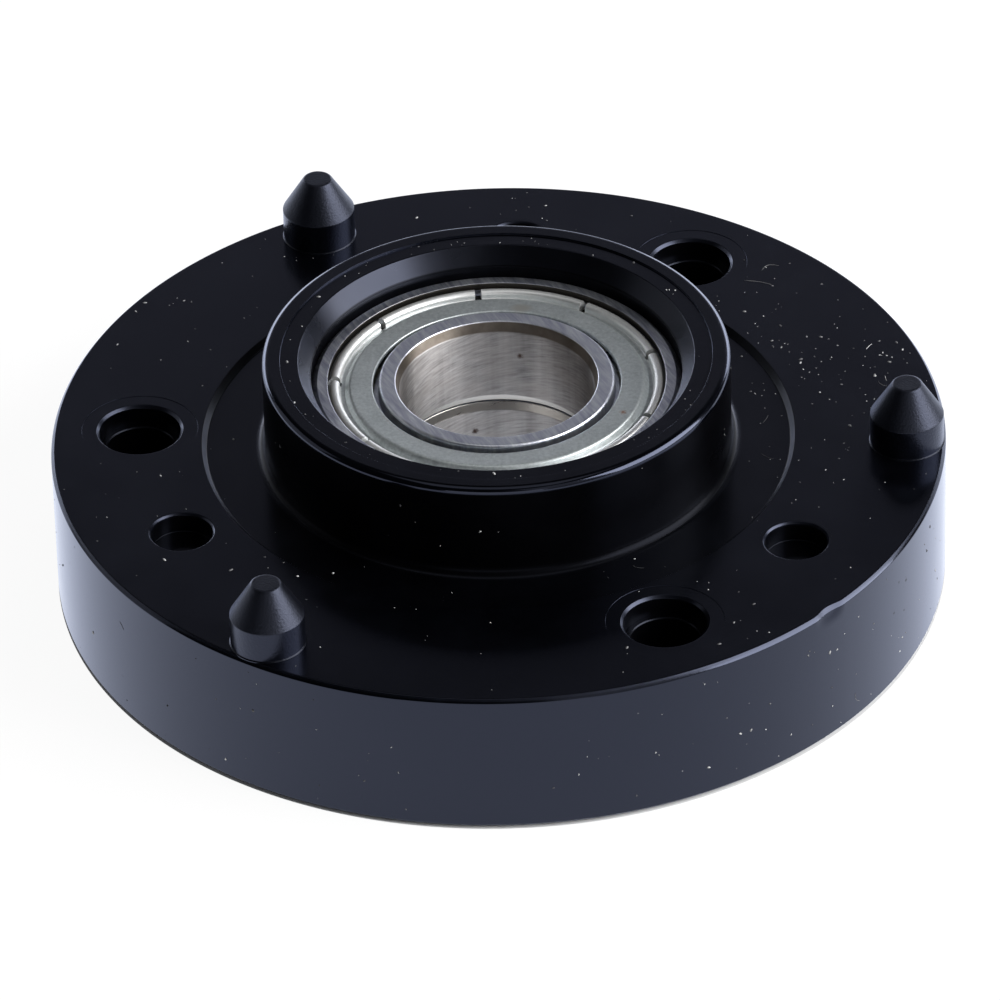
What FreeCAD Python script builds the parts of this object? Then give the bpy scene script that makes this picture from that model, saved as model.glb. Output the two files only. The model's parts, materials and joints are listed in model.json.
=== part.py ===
"""Flanged bearing housing with two single-shield ball bearings, stacked open side to open side.

The housing is one turned and milled piece of black plastic: a round flange, a hub with the bearing seat,
three pointed locating pins, three stepped screw holes and three shallow locating holes.
Millimetres. The Z axis is the bearing axis, the flange stands on z = 0 and one pin lies on +X.
"""
import FreeCAD, Part
import math
import os

# Ball bearing: standard 10 x 19 x 5 thin section
bore_radius = 5.0
outside_radius = 9.5
bearing_width = 5.0
ball_radius = 1.1905
ball_count = 10
race_clearance = 0.05
race_conformity = 1.04
race_depth = 0.34
inner_ring_setback = 0.02
inner_ring_open_setback = 0.1
bore_chamfer_width = 0.19
bore_chamfer_depth = 0.53
open_chamfer_depth = 0.4
outside_chamfer = 0.3
edge_break = 0.08
rebate_edge_break = 0.04

# Shield and the rebates that take it
shield_sheet = 0.2
shield_seat_depth = 0.75
shield_panel_drop = 0.2
shield_bead_drop = 0.16
shield_edge_round = 0.15
shield_lip_clearance = 0.04
ring_face_width = 0.84
undercut_depth = 0.13
bead_gap = 0.1
bead_width = 0.5
valley_width = 0.28
panel_slope_width = 0.24
inner_face_width = 1.05
inner_rebate_depth = 0.8
shield_running_gap = 0.3
notch_count = 9
notch_width = 0.34
notch_root_depth = 0.08
first_notch_angle = 20.0

# Snap-in cage
cage_land_clearance = 0.25
cage_ring_height = 0.5
cage_horn_height = 0.75
pocket_clearance = 0.06
horn_slot_radius = 0.5

# Housing: seat and hub
shoulder_thickness = 1.4
shoulder_width = 1.2
seat_clearance = 0.01
bearing_recess = 1.5
lead_in_depth = 0.95
lead_in_angle = 34.0
land_width = 0.92
land_depth = 0.1
hub_wall = 2.49
hub_edge_round = 0.28
hub_fillet = 0.5
underside_chamfer = 0.3

# Housing: flange
flange_radius = 23.0
flange_thickness = 7.9
flange_top_round = 0.25
flange_bottom_chamfer = 0.2
moat_width = 3.25
moat_depth = 0.32
moat_slope_width = 0.24

# Locating pins, in line with the outer edge of the flange
feature_count = 3
pin_radius = 1.89
pin_edge_gap = 0.11
pin_straight_height = 1.68
pin_cone_height = 1.86
pin_tip_radius = 0.75
pin_tip_break = 0.06

# Stepped screw holes, half way between the pins
screw_hole_edge_distance = 4.5
screw_hole_radius = 1.75
screw_hole_break = 0.06
counterbore_radius = 2.1
counterbore_depth = 1.1
counterbore_chamfer = 0.14
spot_face_radius = 3.0
spot_face_depth = 0.02
screw_hole_angle = 60.0

# Shallow locating holes, a quarter of the spacing on from the screw holes
locating_hole_edge_distance = 5.0
locating_hole_radius = 1.58
locating_hole_depth = 1.1
locating_hole_chamfer = 0.1
locating_hole_angle = 90.0

# Places worked out from the sizes above
UP = FreeCAD.Vector(0, 0, 1)
ORIGIN = FreeCAD.Vector(0, 0, 0)
half_width = bearing_width / 2
pitch_radius = (bore_radius + outside_radius) / 2
race_radius = race_conformity * ball_radius
race_half_width = math.sqrt(race_radius ** 2 - (race_radius - race_depth) ** 2)
outer_race_radius = pitch_radius + ball_radius + race_clearance
inner_race_radius = pitch_radius - ball_radius - race_clearance
outer_land_radius = outer_race_radius - race_depth
inner_land_radius = inner_race_radius + race_depth
rebate_radius = outside_radius - ring_face_width
undercut_radius = rebate_radius + undercut_depth
shield_seat_height = half_width - shield_seat_depth
inner_step_radius = bore_radius + inner_face_width
seat_radius = outside_radius + seat_clearance
stack_top = shoulder_thickness + 2 * bearing_width
hub_top = stack_top + bearing_recess
hub_radius = seat_radius + hub_wall
moat_radius = hub_radius + moat_width
pin_circle_radius = flange_radius - pin_edge_gap - pin_radius
screw_circle_radius = flange_radius - screw_hole_edge_distance
locating_circle_radius = flange_radius - locating_hole_edge_distance


def on_arc(centre, radius, angle):
    """Point of a profile at an angle, in degrees, round an arc's centre."""
    turn = math.radians(angle)
    return (centre[0] + radius * math.cos(turn), centre[1] + radius * math.sin(turn))


def turned(outline):
    """Solid of revolution about Z from a closed outline of (radius, height) points.

    A pair of points in place of one point is an arc: through the first, to the second.
    """
    def place(point):
        return FreeCAD.Vector(point[0], 0, point[1])

    edges = []
    start = outline[0]
    for step in outline[1:] + [outline[0]]:
        if isinstance(step[0], tuple):
            middle, end = step
            edges.append(Part.Arc(place(start), place(middle), place(end)).toShape())
        else:
            end = step
            edges.append(Part.LineSegment(place(start), place(end)).toShape())
        start = end
    return Part.Face(Part.Wire(edges)).revolve(ORIGIN, UP, 360)


def around(shape, count, radius, first_angle=0.0):
    """Copies of a shape on a circle about Z, evenly spaced."""
    copies = []
    for index in range(count):
        copy = shape.copy()
        copy.translate(FreeCAD.Vector(radius, 0, 0))
        copy.rotate(ORIGIN, UP, first_angle + 360.0 * index / count)
        copies.append(copy)
    return copies


def housing_body():
    """Flange, moat, hub and bearing seat in one turned profile."""
    moat_floor = flange_thickness - moat_depth
    land_height = hub_top - land_depth
    lead_in_radius = seat_radius + lead_in_depth * math.tan(math.radians(lead_in_angle))
    land_radius = lead_in_radius + land_width
    opening_radius = seat_radius - shoulder_width
    fillet_centre = (hub_radius + hub_fillet, moat_floor + hub_fillet)
    flange_round_centre = (flange_radius - flange_top_round, flange_thickness - flange_top_round)
    hub_round_centre = (hub_radius - hub_edge_round, hub_top - hub_edge_round)
    return turned([
        (opening_radius + underside_chamfer, 0),
        (flange_radius - flange_bottom_chamfer, 0),
        (flange_radius, flange_bottom_chamfer),
        (flange_radius, flange_round_centre[1]),
        (on_arc(flange_round_centre, flange_top_round, 45), (flange_round_centre[0], flange_thickness)),
        (moat_radius, flange_thickness),
        (moat_radius - moat_slope_width, moat_floor),
        (fillet_centre[0], moat_floor),
        (on_arc(fillet_centre, hub_fillet, 225), (hub_radius, fillet_centre[1])),
        (hub_radius, hub_round_centre[1]),
        (on_arc(hub_round_centre, hub_edge_round, 45), (hub_round_centre[0], hub_top)),
        (land_radius, hub_top),
        (land_radius, land_height),
        (lead_in_radius, land_height),
        (seat_radius, land_height - lead_in_depth),
        (seat_radius, shoulder_thickness),
        (opening_radius, shoulder_thickness),
        (opening_radius, underside_chamfer),
    ])


def locating_pin():
    """Straight pin with a pointed end, rooted half way down the flange."""
    straight_top = flange_thickness + pin_straight_height
    tip = straight_top + pin_cone_height
    return turned([
        (0, flange_thickness / 2),
        (pin_radius, flange_thickness / 2),
        (pin_radius, straight_top),
        (pin_tip_radius, tip - pin_tip_break),
        (pin_tip_radius - pin_tip_break, tip),
        (0, tip),
    ])


def screw_hole():
    """Cutter for a stepped through hole: spot face, chamfered counterbore and clearance hole."""
    face = flange_thickness - spot_face_depth
    ledge = face - counterbore_depth
    return turned([
        (0, 0),
        (screw_hole_radius, 0),
        (screw_hole_radius, ledge - screw_hole_break),
        (screw_hole_radius + screw_hole_break, ledge),
        (counterbore_radius, ledge),
        (counterbore_radius, face - counterbore_chamfer),
        (counterbore_radius + counterbore_chamfer, face),
        (spot_face_radius, face),
        (spot_face_radius, flange_thickness),
        (0, flange_thickness),
    ])


def locating_hole():
    """Cutter for a shallow flat-bottomed hole."""
    return turned([
        (0, flange_thickness - locating_hole_depth),
        (locating_hole_radius, flange_thickness - locating_hole_depth),
        (locating_hole_radius, flange_thickness - locating_hole_chamfer),
        (locating_hole_radius + locating_hole_chamfer, flange_thickness),
        (0, flange_thickness),
    ])


def housing():
    """The whole housing: turned body with its pins and holes."""
    pins = around(locating_pin(), feature_count, pin_circle_radius)
    cutters = around(screw_hole(), feature_count, screw_circle_radius, screw_hole_angle)
    cutters += around(locating_hole(), feature_count, locating_circle_radius, locating_hole_angle)
    return housing_body().fuse(pins).removeSplitter().cut(cutters)


def outer_ring():
    """Outer ring about the bearing's middle plane, with the shield's rebate at its upper end."""
    undercut_top = shield_seat_height + shield_sheet + shield_lip_clearance
    return turned([
        (rebate_radius + rebate_edge_break, half_width),
        (outside_radius - outside_chamfer, half_width),
        (outside_radius, half_width - outside_chamfer),
        (outside_radius, outside_chamfer - half_width),
        (outside_radius - outside_chamfer, -half_width),
        (outer_land_radius + edge_break, -half_width),
        (outer_land_radius, edge_break - half_width),
        (outer_land_radius, -race_half_width),
        ((outer_race_radius, 0), (outer_land_radius, race_half_width)),
        (outer_land_radius, shield_seat_height),
        (undercut_radius, shield_seat_height),
        (undercut_radius, undercut_top),
        (rebate_radius, undercut_top + undercut_depth),
        (rebate_radius, half_width - rebate_edge_break),
    ])


def inner_ring():
    """Inner ring about the bearing's middle plane, stepped down under the shield's inner edge."""
    shield_end = half_width - inner_ring_setback
    open_end = inner_ring_open_setback - half_width
    chamfer_radius = bore_radius + bore_chamfer_width
    step_height = half_width - inner_rebate_depth
    return turned([
        (chamfer_radius, shield_end),
        (bore_radius, shield_end - bore_chamfer_depth),
        (bore_radius, open_end + open_chamfer_depth),
        (chamfer_radius, open_end),
        (inner_land_radius - edge_break, open_end),
        (inner_land_radius, open_end + edge_break),
        (inner_land_radius, -race_half_width),
        ((inner_race_radius, 0), (inner_land_radius, race_half_width)),
        (inner_land_radius, step_height),
        (inner_step_radius, step_height),
        (inner_step_radius, shield_end - edge_break),
        (inner_step_radius - edge_break, shield_end),
    ])


def shield():
    """Stamped shield: raised flat panel, valley and a notched, curled rim that grips the outer ring."""
    inner_edge = inner_step_radius + shield_running_gap
    panel_top = half_width - shield_panel_drop
    panel_bottom = panel_top - shield_sheet
    valley_top = shield_seat_height + shield_sheet
    bead_top = half_width - shield_bead_drop
    bead_outside = rebate_radius - bead_gap
    bead_inside = bead_outside - bead_width
    panel_foot = bead_inside - valley_width
    panel_edge = panel_foot - panel_slope_width
    lip_radius = undercut_radius - shield_lip_clearance
    bead_crown = ((bead_inside + bead_outside) / 2, bead_top)
    flank_height = (valley_top + bead_top) / 2
    edge_round_centre = (inner_edge + shield_edge_round, panel_top - shield_edge_round)
    disc = turned([
        (inner_edge, panel_bottom),
        (inner_edge, edge_round_centre[1]),
        (on_arc(edge_round_centre, shield_edge_round, 135), (edge_round_centre[0], panel_top)),
        (panel_edge, panel_top),
        (panel_foot, valley_top),
        (bead_inside, valley_top),
        (bead_inside, flank_height),
        (bead_crown, (bead_outside, flank_height)),
        (lip_radius, valley_top),
        (lip_radius, shield_seat_height),
        (panel_foot - shield_sheet / 2, shield_seat_height),
        (panel_edge - shield_sheet / 2, panel_bottom),
    ])
    notch_root = bead_inside - notch_root_depth
    notch = Part.makeBox(outside_radius - notch_root, notch_width, bearing_width)
    notch.translate(FreeCAD.Vector(0, -notch_width / 2, 0))
    return disc.cut(around(notch, notch_count, notch_root, first_notch_angle))


def cage():
    """One-piece crown cage: a back ring on the open side, with horns that snap over the balls."""
    pocket_radius = ball_radius + pocket_clearance
    back = -pocket_radius - cage_ring_height
    inside = inner_land_radius + cage_land_clearance
    outside = outer_land_radius - cage_land_clearance
    ring = turned([
        (inside, back),
        (outside, back),
        (outside, cage_horn_height),
        (inside, cage_horn_height),
    ])
    pockets = around(Part.makeSphere(pocket_radius), ball_count, pitch_radius)
    slot = Part.makeCylinder(
        horn_slot_radius, outside, FreeCAD.Vector(0, 0, cage_horn_height), FreeCAD.Vector(1, 0, 0)
    )
    slots = around(slot, ball_count, 0, 180.0 / ball_count)
    return ring.cut(pockets + slots)


def bearing():
    """Named pieces of one bearing, about its middle plane, with the shield on top."""
    pieces = {
        "outer_ring": outer_ring(),
        "inner_ring": inner_ring(),
        "shield": shield(),
        "cage": cage(),
    }
    balls = around(Part.makeSphere(ball_radius), ball_count, pitch_radius)
    for number, ball in enumerate(balls, start=1):
        pieces["ball_%02d" % number] = ball
    return pieces


def bearing_stack():
    """Both bearings in the seat: the lower one turned over, so that both shields look outward."""
    nodes = {}
    for name, piece in bearing().items():
        upper = piece.copy()
        upper.translate(FreeCAD.Vector(0, 0, stack_top - half_width))
        nodes["upper_" + name] = upper
        lower = piece.copy()
        lower.rotate(ORIGIN, FreeCAD.Vector(1, 0, 0), 180)
        lower.translate(FreeCAD.Vector(0, 0, shoulder_thickness + half_width))
        nodes["lower_" + name] = lower
    return nodes


def main():
    """Build every piece and write one file for each."""
    os.makedirs("parts", exist_ok=True)
    nodes = {"housing": housing()}
    nodes.update(bearing_stack())
    for name, shape in nodes.items():
        shape.exportStep(os.path.join("parts", name + ".step"))


main()
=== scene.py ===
import json
import math
import random

import bmesh
import bpy
from mathutils import Matrix, Vector


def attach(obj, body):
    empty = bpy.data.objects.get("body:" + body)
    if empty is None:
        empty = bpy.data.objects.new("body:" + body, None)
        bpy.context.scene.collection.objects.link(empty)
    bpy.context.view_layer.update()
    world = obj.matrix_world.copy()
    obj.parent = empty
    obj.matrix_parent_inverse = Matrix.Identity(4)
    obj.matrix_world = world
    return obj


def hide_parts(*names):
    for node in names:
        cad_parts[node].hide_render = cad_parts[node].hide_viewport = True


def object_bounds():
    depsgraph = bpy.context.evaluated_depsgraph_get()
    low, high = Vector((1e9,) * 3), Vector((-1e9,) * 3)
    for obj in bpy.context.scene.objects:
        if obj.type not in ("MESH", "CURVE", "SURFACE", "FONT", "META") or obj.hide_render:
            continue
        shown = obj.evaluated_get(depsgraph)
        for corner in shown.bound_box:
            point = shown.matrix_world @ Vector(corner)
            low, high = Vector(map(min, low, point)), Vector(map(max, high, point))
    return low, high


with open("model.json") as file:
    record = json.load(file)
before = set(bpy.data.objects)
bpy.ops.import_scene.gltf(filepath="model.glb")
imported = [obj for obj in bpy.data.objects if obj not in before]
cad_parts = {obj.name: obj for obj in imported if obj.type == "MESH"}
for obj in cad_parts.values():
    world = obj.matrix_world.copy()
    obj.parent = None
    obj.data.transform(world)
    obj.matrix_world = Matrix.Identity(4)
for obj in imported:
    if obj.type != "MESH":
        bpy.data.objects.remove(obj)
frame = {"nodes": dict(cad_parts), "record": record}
cad_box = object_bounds()
MM = 0.001

# Camera at the photograph's place, found from the flange's ellipses
CAMERA_DISTANCE = 497.4 * MM
CAMERA_AZIMUTH = 4.08
CAMERA_ELEVATION = 35.79
CAMERA_TILT = 0.35
CAMERA_ROLL = -1.56
CAMERA_LENS = 345.03
CAMERA_CLIP = (0.01, 20.0)
SENSOR_WIDTH = 36.0

# Studio in metres and degrees: a window and a fill on the right, two low softboxes behind, dim panels around
STUDIO_CENTRE = Vector((0, 0, 6 * MM))
WHITE = (1, 1, 1)
BACK_BOX = {"elevation": 8.5, "distance": 0.85, "size": (0.58, 0.35), "radiance": 3.4,
            "tint": (0.90, 0.93, 1.0)}
SOFTBOXES = {
    "window_right": {"azimuth": -7, "elevation": 28, "distance": 0.60, "size": (0.58, 0.50), "radiance": 8.0},
    "fill_right": {"azimuth": -50, "elevation": 30, "distance": 0.60, "size": (0.45, 0.45), "radiance": 0.45},
    "back_right": {"azimuth": 67, **BACK_BOX},
    "back_left": {"azimuth": 123, **BACK_BOX},
    "panel_behind": {"azimuth": 92, "elevation": 22, "distance": 1.10, "size": (1.30, 0.56), "radiance": 0.24,
                     "tint": (0.88, 0.87, 1.0)},
    "panel_left": {"azimuth": 168, "elevation": 20, "distance": 0.60, "size": (0.42, 0.36), "radiance": 0.42},
    "fill_front": {"azimuth": -88, "elevation": 8, "distance": 0.75, "size": (0.60, 0.28), "radiance": 1.3},
    "overhead": {"azimuth": 0, "elevation": 90, "distance": 0.70, "size": (0.50, 0.50), "radiance": 0.6},
}
FLOOR_SIZE = 6.0
FLOOR_GAP = 0.05 * MM
FLOOR_SEEN = {"tint": WHITE, "glow": 0.93, "albedo": 0.12}
FLOOR_MIRRORED = {"tint": (0.91, 0.94, 1.0), "glow": 1.0, "albedo": 0.15}
FLOOR_PLAIN = (0.8, 0.8, 0.8)
ROOM_TINT = (0.85, 0.92, 1.0)
ROOM_LIGHT = 0.02

# Outlines of turned pieces in millimetres, one corner each: (radius, height) or (radius, height, rounding)
EDGE_ROUND = 0.04
ROUND_SHARE = 0.45
STRIP_WIDTH = 0.04
ARC_STEP = math.radians(15)
SHARP_ANGLE = math.radians(32)
MERGE_DISTANCE = 1e-5

# Turned body of the housing, with rows of points near the flange's edge that take the nick
HOUSING_TURNS = 360
FLANGE_RADIUS = 23.0
FLANGE_TOP = 7.9
FLANGE_BEVEL = (0.15, 0.21)
BOTTOM_BEVEL = 0.2
WALL_ROWS = (6.6, 6.9, 7.15, 7.4)
TOP_ROWS = (22.55, 22.3, 22.0)
MOAT_RADIUS = 15.25
MOAT_FOOT = 15.01
MOAT_FLOOR = 7.58
HUB_RADIUS = 12.0
HUB_TOP = 12.9
HUB_ROUND = 0.34
HUB_FILLET = 0.5
LAND_RADIUS = 11.07
LAND_HEIGHT = 12.8
LEAD_IN_RADIUS = 10.15
SEAT_RADIUS = 9.51
SEAT_TOP = 11.85
SHOULDER = 1.4
BORE_OPENING = 8.31
BORE_BEVEL = 0.3
HOUSING_OUTLINE = [
    (BORE_OPENING + BORE_BEVEL, 0), (FLANGE_RADIUS - BOTTOM_BEVEL, 0), (FLANGE_RADIUS, BOTTOM_BEVEL),
    *[(FLANGE_RADIUS, height, 0) for height in WALL_ROWS],
    (FLANGE_RADIUS, FLANGE_TOP - FLANGE_BEVEL[1], 0.06), (FLANGE_RADIUS - FLANGE_BEVEL[0], FLANGE_TOP, 0.06),
    *[(radius, FLANGE_TOP, 0) for radius in TOP_ROWS],
    (MOAT_RADIUS, FLANGE_TOP, 0.015), (MOAT_FOOT, MOAT_FLOOR, 0.1), (HUB_RADIUS, MOAT_FLOOR, HUB_FILLET),
    (HUB_RADIUS, HUB_TOP, HUB_ROUND), (LAND_RADIUS, HUB_TOP, 0.01), (LAND_RADIUS, LAND_HEIGHT, 0.01),
    (LEAD_IN_RADIUS, LAND_HEIGHT, 0.06), (SEAT_RADIUS, SEAT_TOP, 0.06), (SEAT_RADIUS, SHOULDER),
    (BORE_OPENING, SHOULDER), (BORE_OPENING, BORE_BEVEL),
]

# Pins with a fine bevel at the root, sunk into the flange, and the cutters for the flange's holes
OF_EACH = 3
ROUND_TURNS = 96
PIN_CIRCLE = 21.0
PIN_ANGLE = 0.0
PIN_RADIUS = 1.89
PIN_FOOT = 5.0
PIN_SHOULDER = 9.58
PIN_TIP = (0.75, 11.44)
ROOT_DEPTH = 0.1
ROOT_STEP = 0.002
ROOT_BEVEL = 0.055
ROOT_TOP = FLANGE_TOP + ROOT_STEP + ROOT_BEVEL
PIN_OUTLINE = [
    (0, PIN_FOOT, 0), (PIN_RADIUS, PIN_FOOT), (PIN_RADIUS, FLANGE_TOP - ROOT_DEPTH, 0),
    (PIN_RADIUS + ROOT_BEVEL, FLANGE_TOP - ROOT_DEPTH + ROOT_BEVEL, 0),
    (PIN_RADIUS + ROOT_BEVEL, FLANGE_TOP + ROOT_STEP, 0), (PIN_RADIUS, ROOT_TOP, 0.01),
    (PIN_RADIUS, PIN_SHOULDER, 0.07), (*PIN_TIP, 0.17), (0, PIN_TIP[1], 0),
]
CUT_TOP = 8.9
CUT_BOTTOM = -1.0
SCREW_CIRCLE = 18.5
SCREW_ANGLE = 60.0
SCREW_RADIUS = 1.75
SCREW_BEVEL = 0.06
COUNTERBORE_RADIUS = 2.1
COUNTERBORE_FLOOR = 6.78
COUNTERBORE_BEVEL = 0.14
SPOT_RADIUS = 3.0
SPOT_FLOOR = 7.88
SCREW_HOLE_OUTLINE = [
    (0, CUT_BOTTOM, 0), (SCREW_RADIUS, CUT_BOTTOM), (SCREW_RADIUS, COUNTERBORE_FLOOR - SCREW_BEVEL, 0.02),
    (SCREW_RADIUS + SCREW_BEVEL, COUNTERBORE_FLOOR, 0.02), (COUNTERBORE_RADIUS, COUNTERBORE_FLOOR, 0),
    (COUNTERBORE_RADIUS, SPOT_FLOOR - COUNTERBORE_BEVEL, 0.03),
    (COUNTERBORE_RADIUS + COUNTERBORE_BEVEL, SPOT_FLOOR, 0.03),
    (SPOT_RADIUS, SPOT_FLOOR, 0.01), (SPOT_RADIUS, CUT_TOP), (0, CUT_TOP, 0),
]
SHALLOW_CIRCLE = 18.0
SHALLOW_ANGLE = 90.0
SHALLOW_RADIUS = 1.58
SHALLOW_FLOOR = 6.8
SHALLOW_BEVEL = 0.098
SHALLOW_SPOT = (1.85, 7.898)
SHALLOW_HOLE_OUTLINE = [
    (0, SHALLOW_FLOOR, 0), (SHALLOW_RADIUS, SHALLOW_FLOOR),
    (SHALLOW_RADIUS, SHALLOW_SPOT[1] - SHALLOW_BEVEL, 0.03),
    (SHALLOW_RADIUS + SHALLOW_BEVEL, SHALLOW_SPOT[1], 0.03), (*SHALLOW_SPOT, 0),
    (SHALLOW_SPOT[0], CUT_TOP, 0), (0, CUT_TOP, 0),
]

# Nick in the flange's top edge, and pits in its wall as place and reach
WALL_PITS = [
    ((21.15, -9.04, 5.55), 0.13), ((20.81, -9.79, 5.97), 0.11),
    ((20.57, -10.28, 4.38), 0.11), ((21.06, -9.25, 3.83), 0.09),
]
NICK_ANGLE = 319.6
NICK_REACH = (1.1, 0.7)
NICK_DEPTH = 0.19
NICK_TURN = 0.13
NICK_TURNS = 22

# Bearing pieces about a bearing's middle plane, with the shield on top
BEARING_TURNS = 240
HALF_WIDTH = 2.5
BEARING_MIDDLES = {"upper": SHOULDER + 3 * HALF_WIDTH, "lower": SHOULDER + HALF_WIDTH}
RING_RADIUS = 9.5
RING_BEVEL = 0.3
OUTER_LAND = 8.15
INNER_LAND = 6.35
RACE_EDGE = -0.9
RACE_SWEEP = 87.0
OUTER_RACE = (7.252, 0, 1.238, -RACE_SWEEP / 2, RACE_SWEEP)
INNER_RACE = (7.248, 0, 1.238, 180 + RACE_SWEEP / 2, -RACE_SWEEP)
GROOVE_LIP = 8.66
GROOVE_RADIUS = 8.79
GROOVE_TOP = 1.99
SHAFT_RADIUS = 5.0
INNER_TOP = 2.48
INNER_END = -2.46
INNER_BEVEL = (0.2, 0.62)
END_BEVEL = (0.19, 0.46)
INNER_STEP = (6.05, 1.7)
SHEET = 0.2
SHIELD_TOP = 2.3
SHIELD_STEP = 1.95
SHIELD_EDGE = 6.35
SHIELD_RIM = 8.75
SLOPE_TOP = 7.54
SLOPE_FOOT = 7.78
SLOPE_LAP = 0.1
BEAD_FOOT = 8.06
BEAD = (8.31, 2.082, 0.258, 165.9, -151.8)
NOTCH_COUNT = 9
NOTCH_SIZE = (1.5, 0.34, 5.0)
NOTCH_ROOT = 7.98
NOTCH_MIDDLE = 2.0
FIRST_NOTCH = 20.0

# Dust and lint in millimetres; ON_WALL, ON_LAND and ON_HUB are running totals of a grain's chances
DUST_SEED = 7
GRAIN_COUNT = 640
GRAIN_SIZE = 0.036
GRAIN_SPREAD = 0.65
GRAIN_STRETCH = 2.2
GRAIN_LIMIT = 0.07
ON_WALL = 0.33
ON_LAND = 0.38
ON_HUB = 0.41
WALL_DUST = (0.4, 7.4)
LAND_DUST = (10.3, 11.0)
HUB_DUST = (8.3, 12.5)
IN_HEAP = 0.3
HEAP_COUNT = 12
HEAP_CIRCLES = (15.6, 22.4)
HEAP_SPREAD = 2.0
DUSTY_SIDE = Vector((0.75, 0.66, 0))
DUSTY_CHANCE = 0.6
DUSTY_BIAS = 0.4
SCREW_REACH = 2.4
FEATURE_MARGIN = 0.15
EDGE_MARGIN = 0.4
FILLET_MARGIN = 0.7
FIBRE_COUNT = 12
FIBRE_RADIUS = 0.010
FIBRE_LENGTHS = (0.25, 0.8)
FIBRE_BEND = 0.8
FIBRE_SAG = 0.08
FIBRE_LIFT = 0.6
FIBRE_TAPER = 0.5
FIBRE_STEPS = 10
FIBRE_SIDES = 6
LONG_FIBRES = [((13.4, 15.7, FLANGE_TOP), 28.0, 1.0, 1.2), ((12.9, 14.2, FLANGE_TOP), -14.0, 1.5, 0.25)]
LARGE_GRAIN = {"at": (-12.83, -12.26, FLANGE_TOP), "turn": 40.0, "length": 0.34, "width": 0.13}

# Finishes: how upright a flat face's normal is, and where the edges of spots and streaks begin and end
FLAT_NORMAL = (0.86, 0.98)
SPOT_EDGE = (1.35, 0.75)
STREAK_EDGE = (1.0, 0.4)

# Plastic: how far each zone loses its gloss, the roughness of each kind of surface, and the depth of marks
MATT = {"hub_wall": 0.93, "seat_wall": 0.8, "moat_edge": 0.8, "holes": 0.6, "lead_in": 0.35, "pin_roots": 0.6,
        "pin_tips": 0.2}
FACED_MATT = (0.22, 0.36)
SATIN = {"turned": (0.27, 0.33), "faced": (0.18, 0.23), "slick": (0.10, 0.14), "pin_tips": (0.37, 0.43)}
MARK_DEPTHS = {"turning": 0.0006, "grain": 0.0012, "chatter": 0.004, "stipple": 0.014}
CHATTER_AT = (0.1, -FLANGE_RADIUS, 7.2)
CHATTER_DENSITY = (0.5, 1.0, 1.4)

# Steel: heights that part the bore's edges, rust spots as place and reach, and a stain
BORE_TOP = 11.33
TOP_EDGE = 10.05
MEETING_EDGE = 7.05
RING_RUST = [((0.89, 4.92, 9.39), 0.22), ((-1.54, 4.76, 4.72), 0.24)]
SHIELD_RUST = ((6.59, -2.60, 11.20), 0.26)
STAIN_AT = (0.89, 6.67, 11.2)
STAIN_DENSITY = (1.4, 2.2, 1.0)


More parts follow.
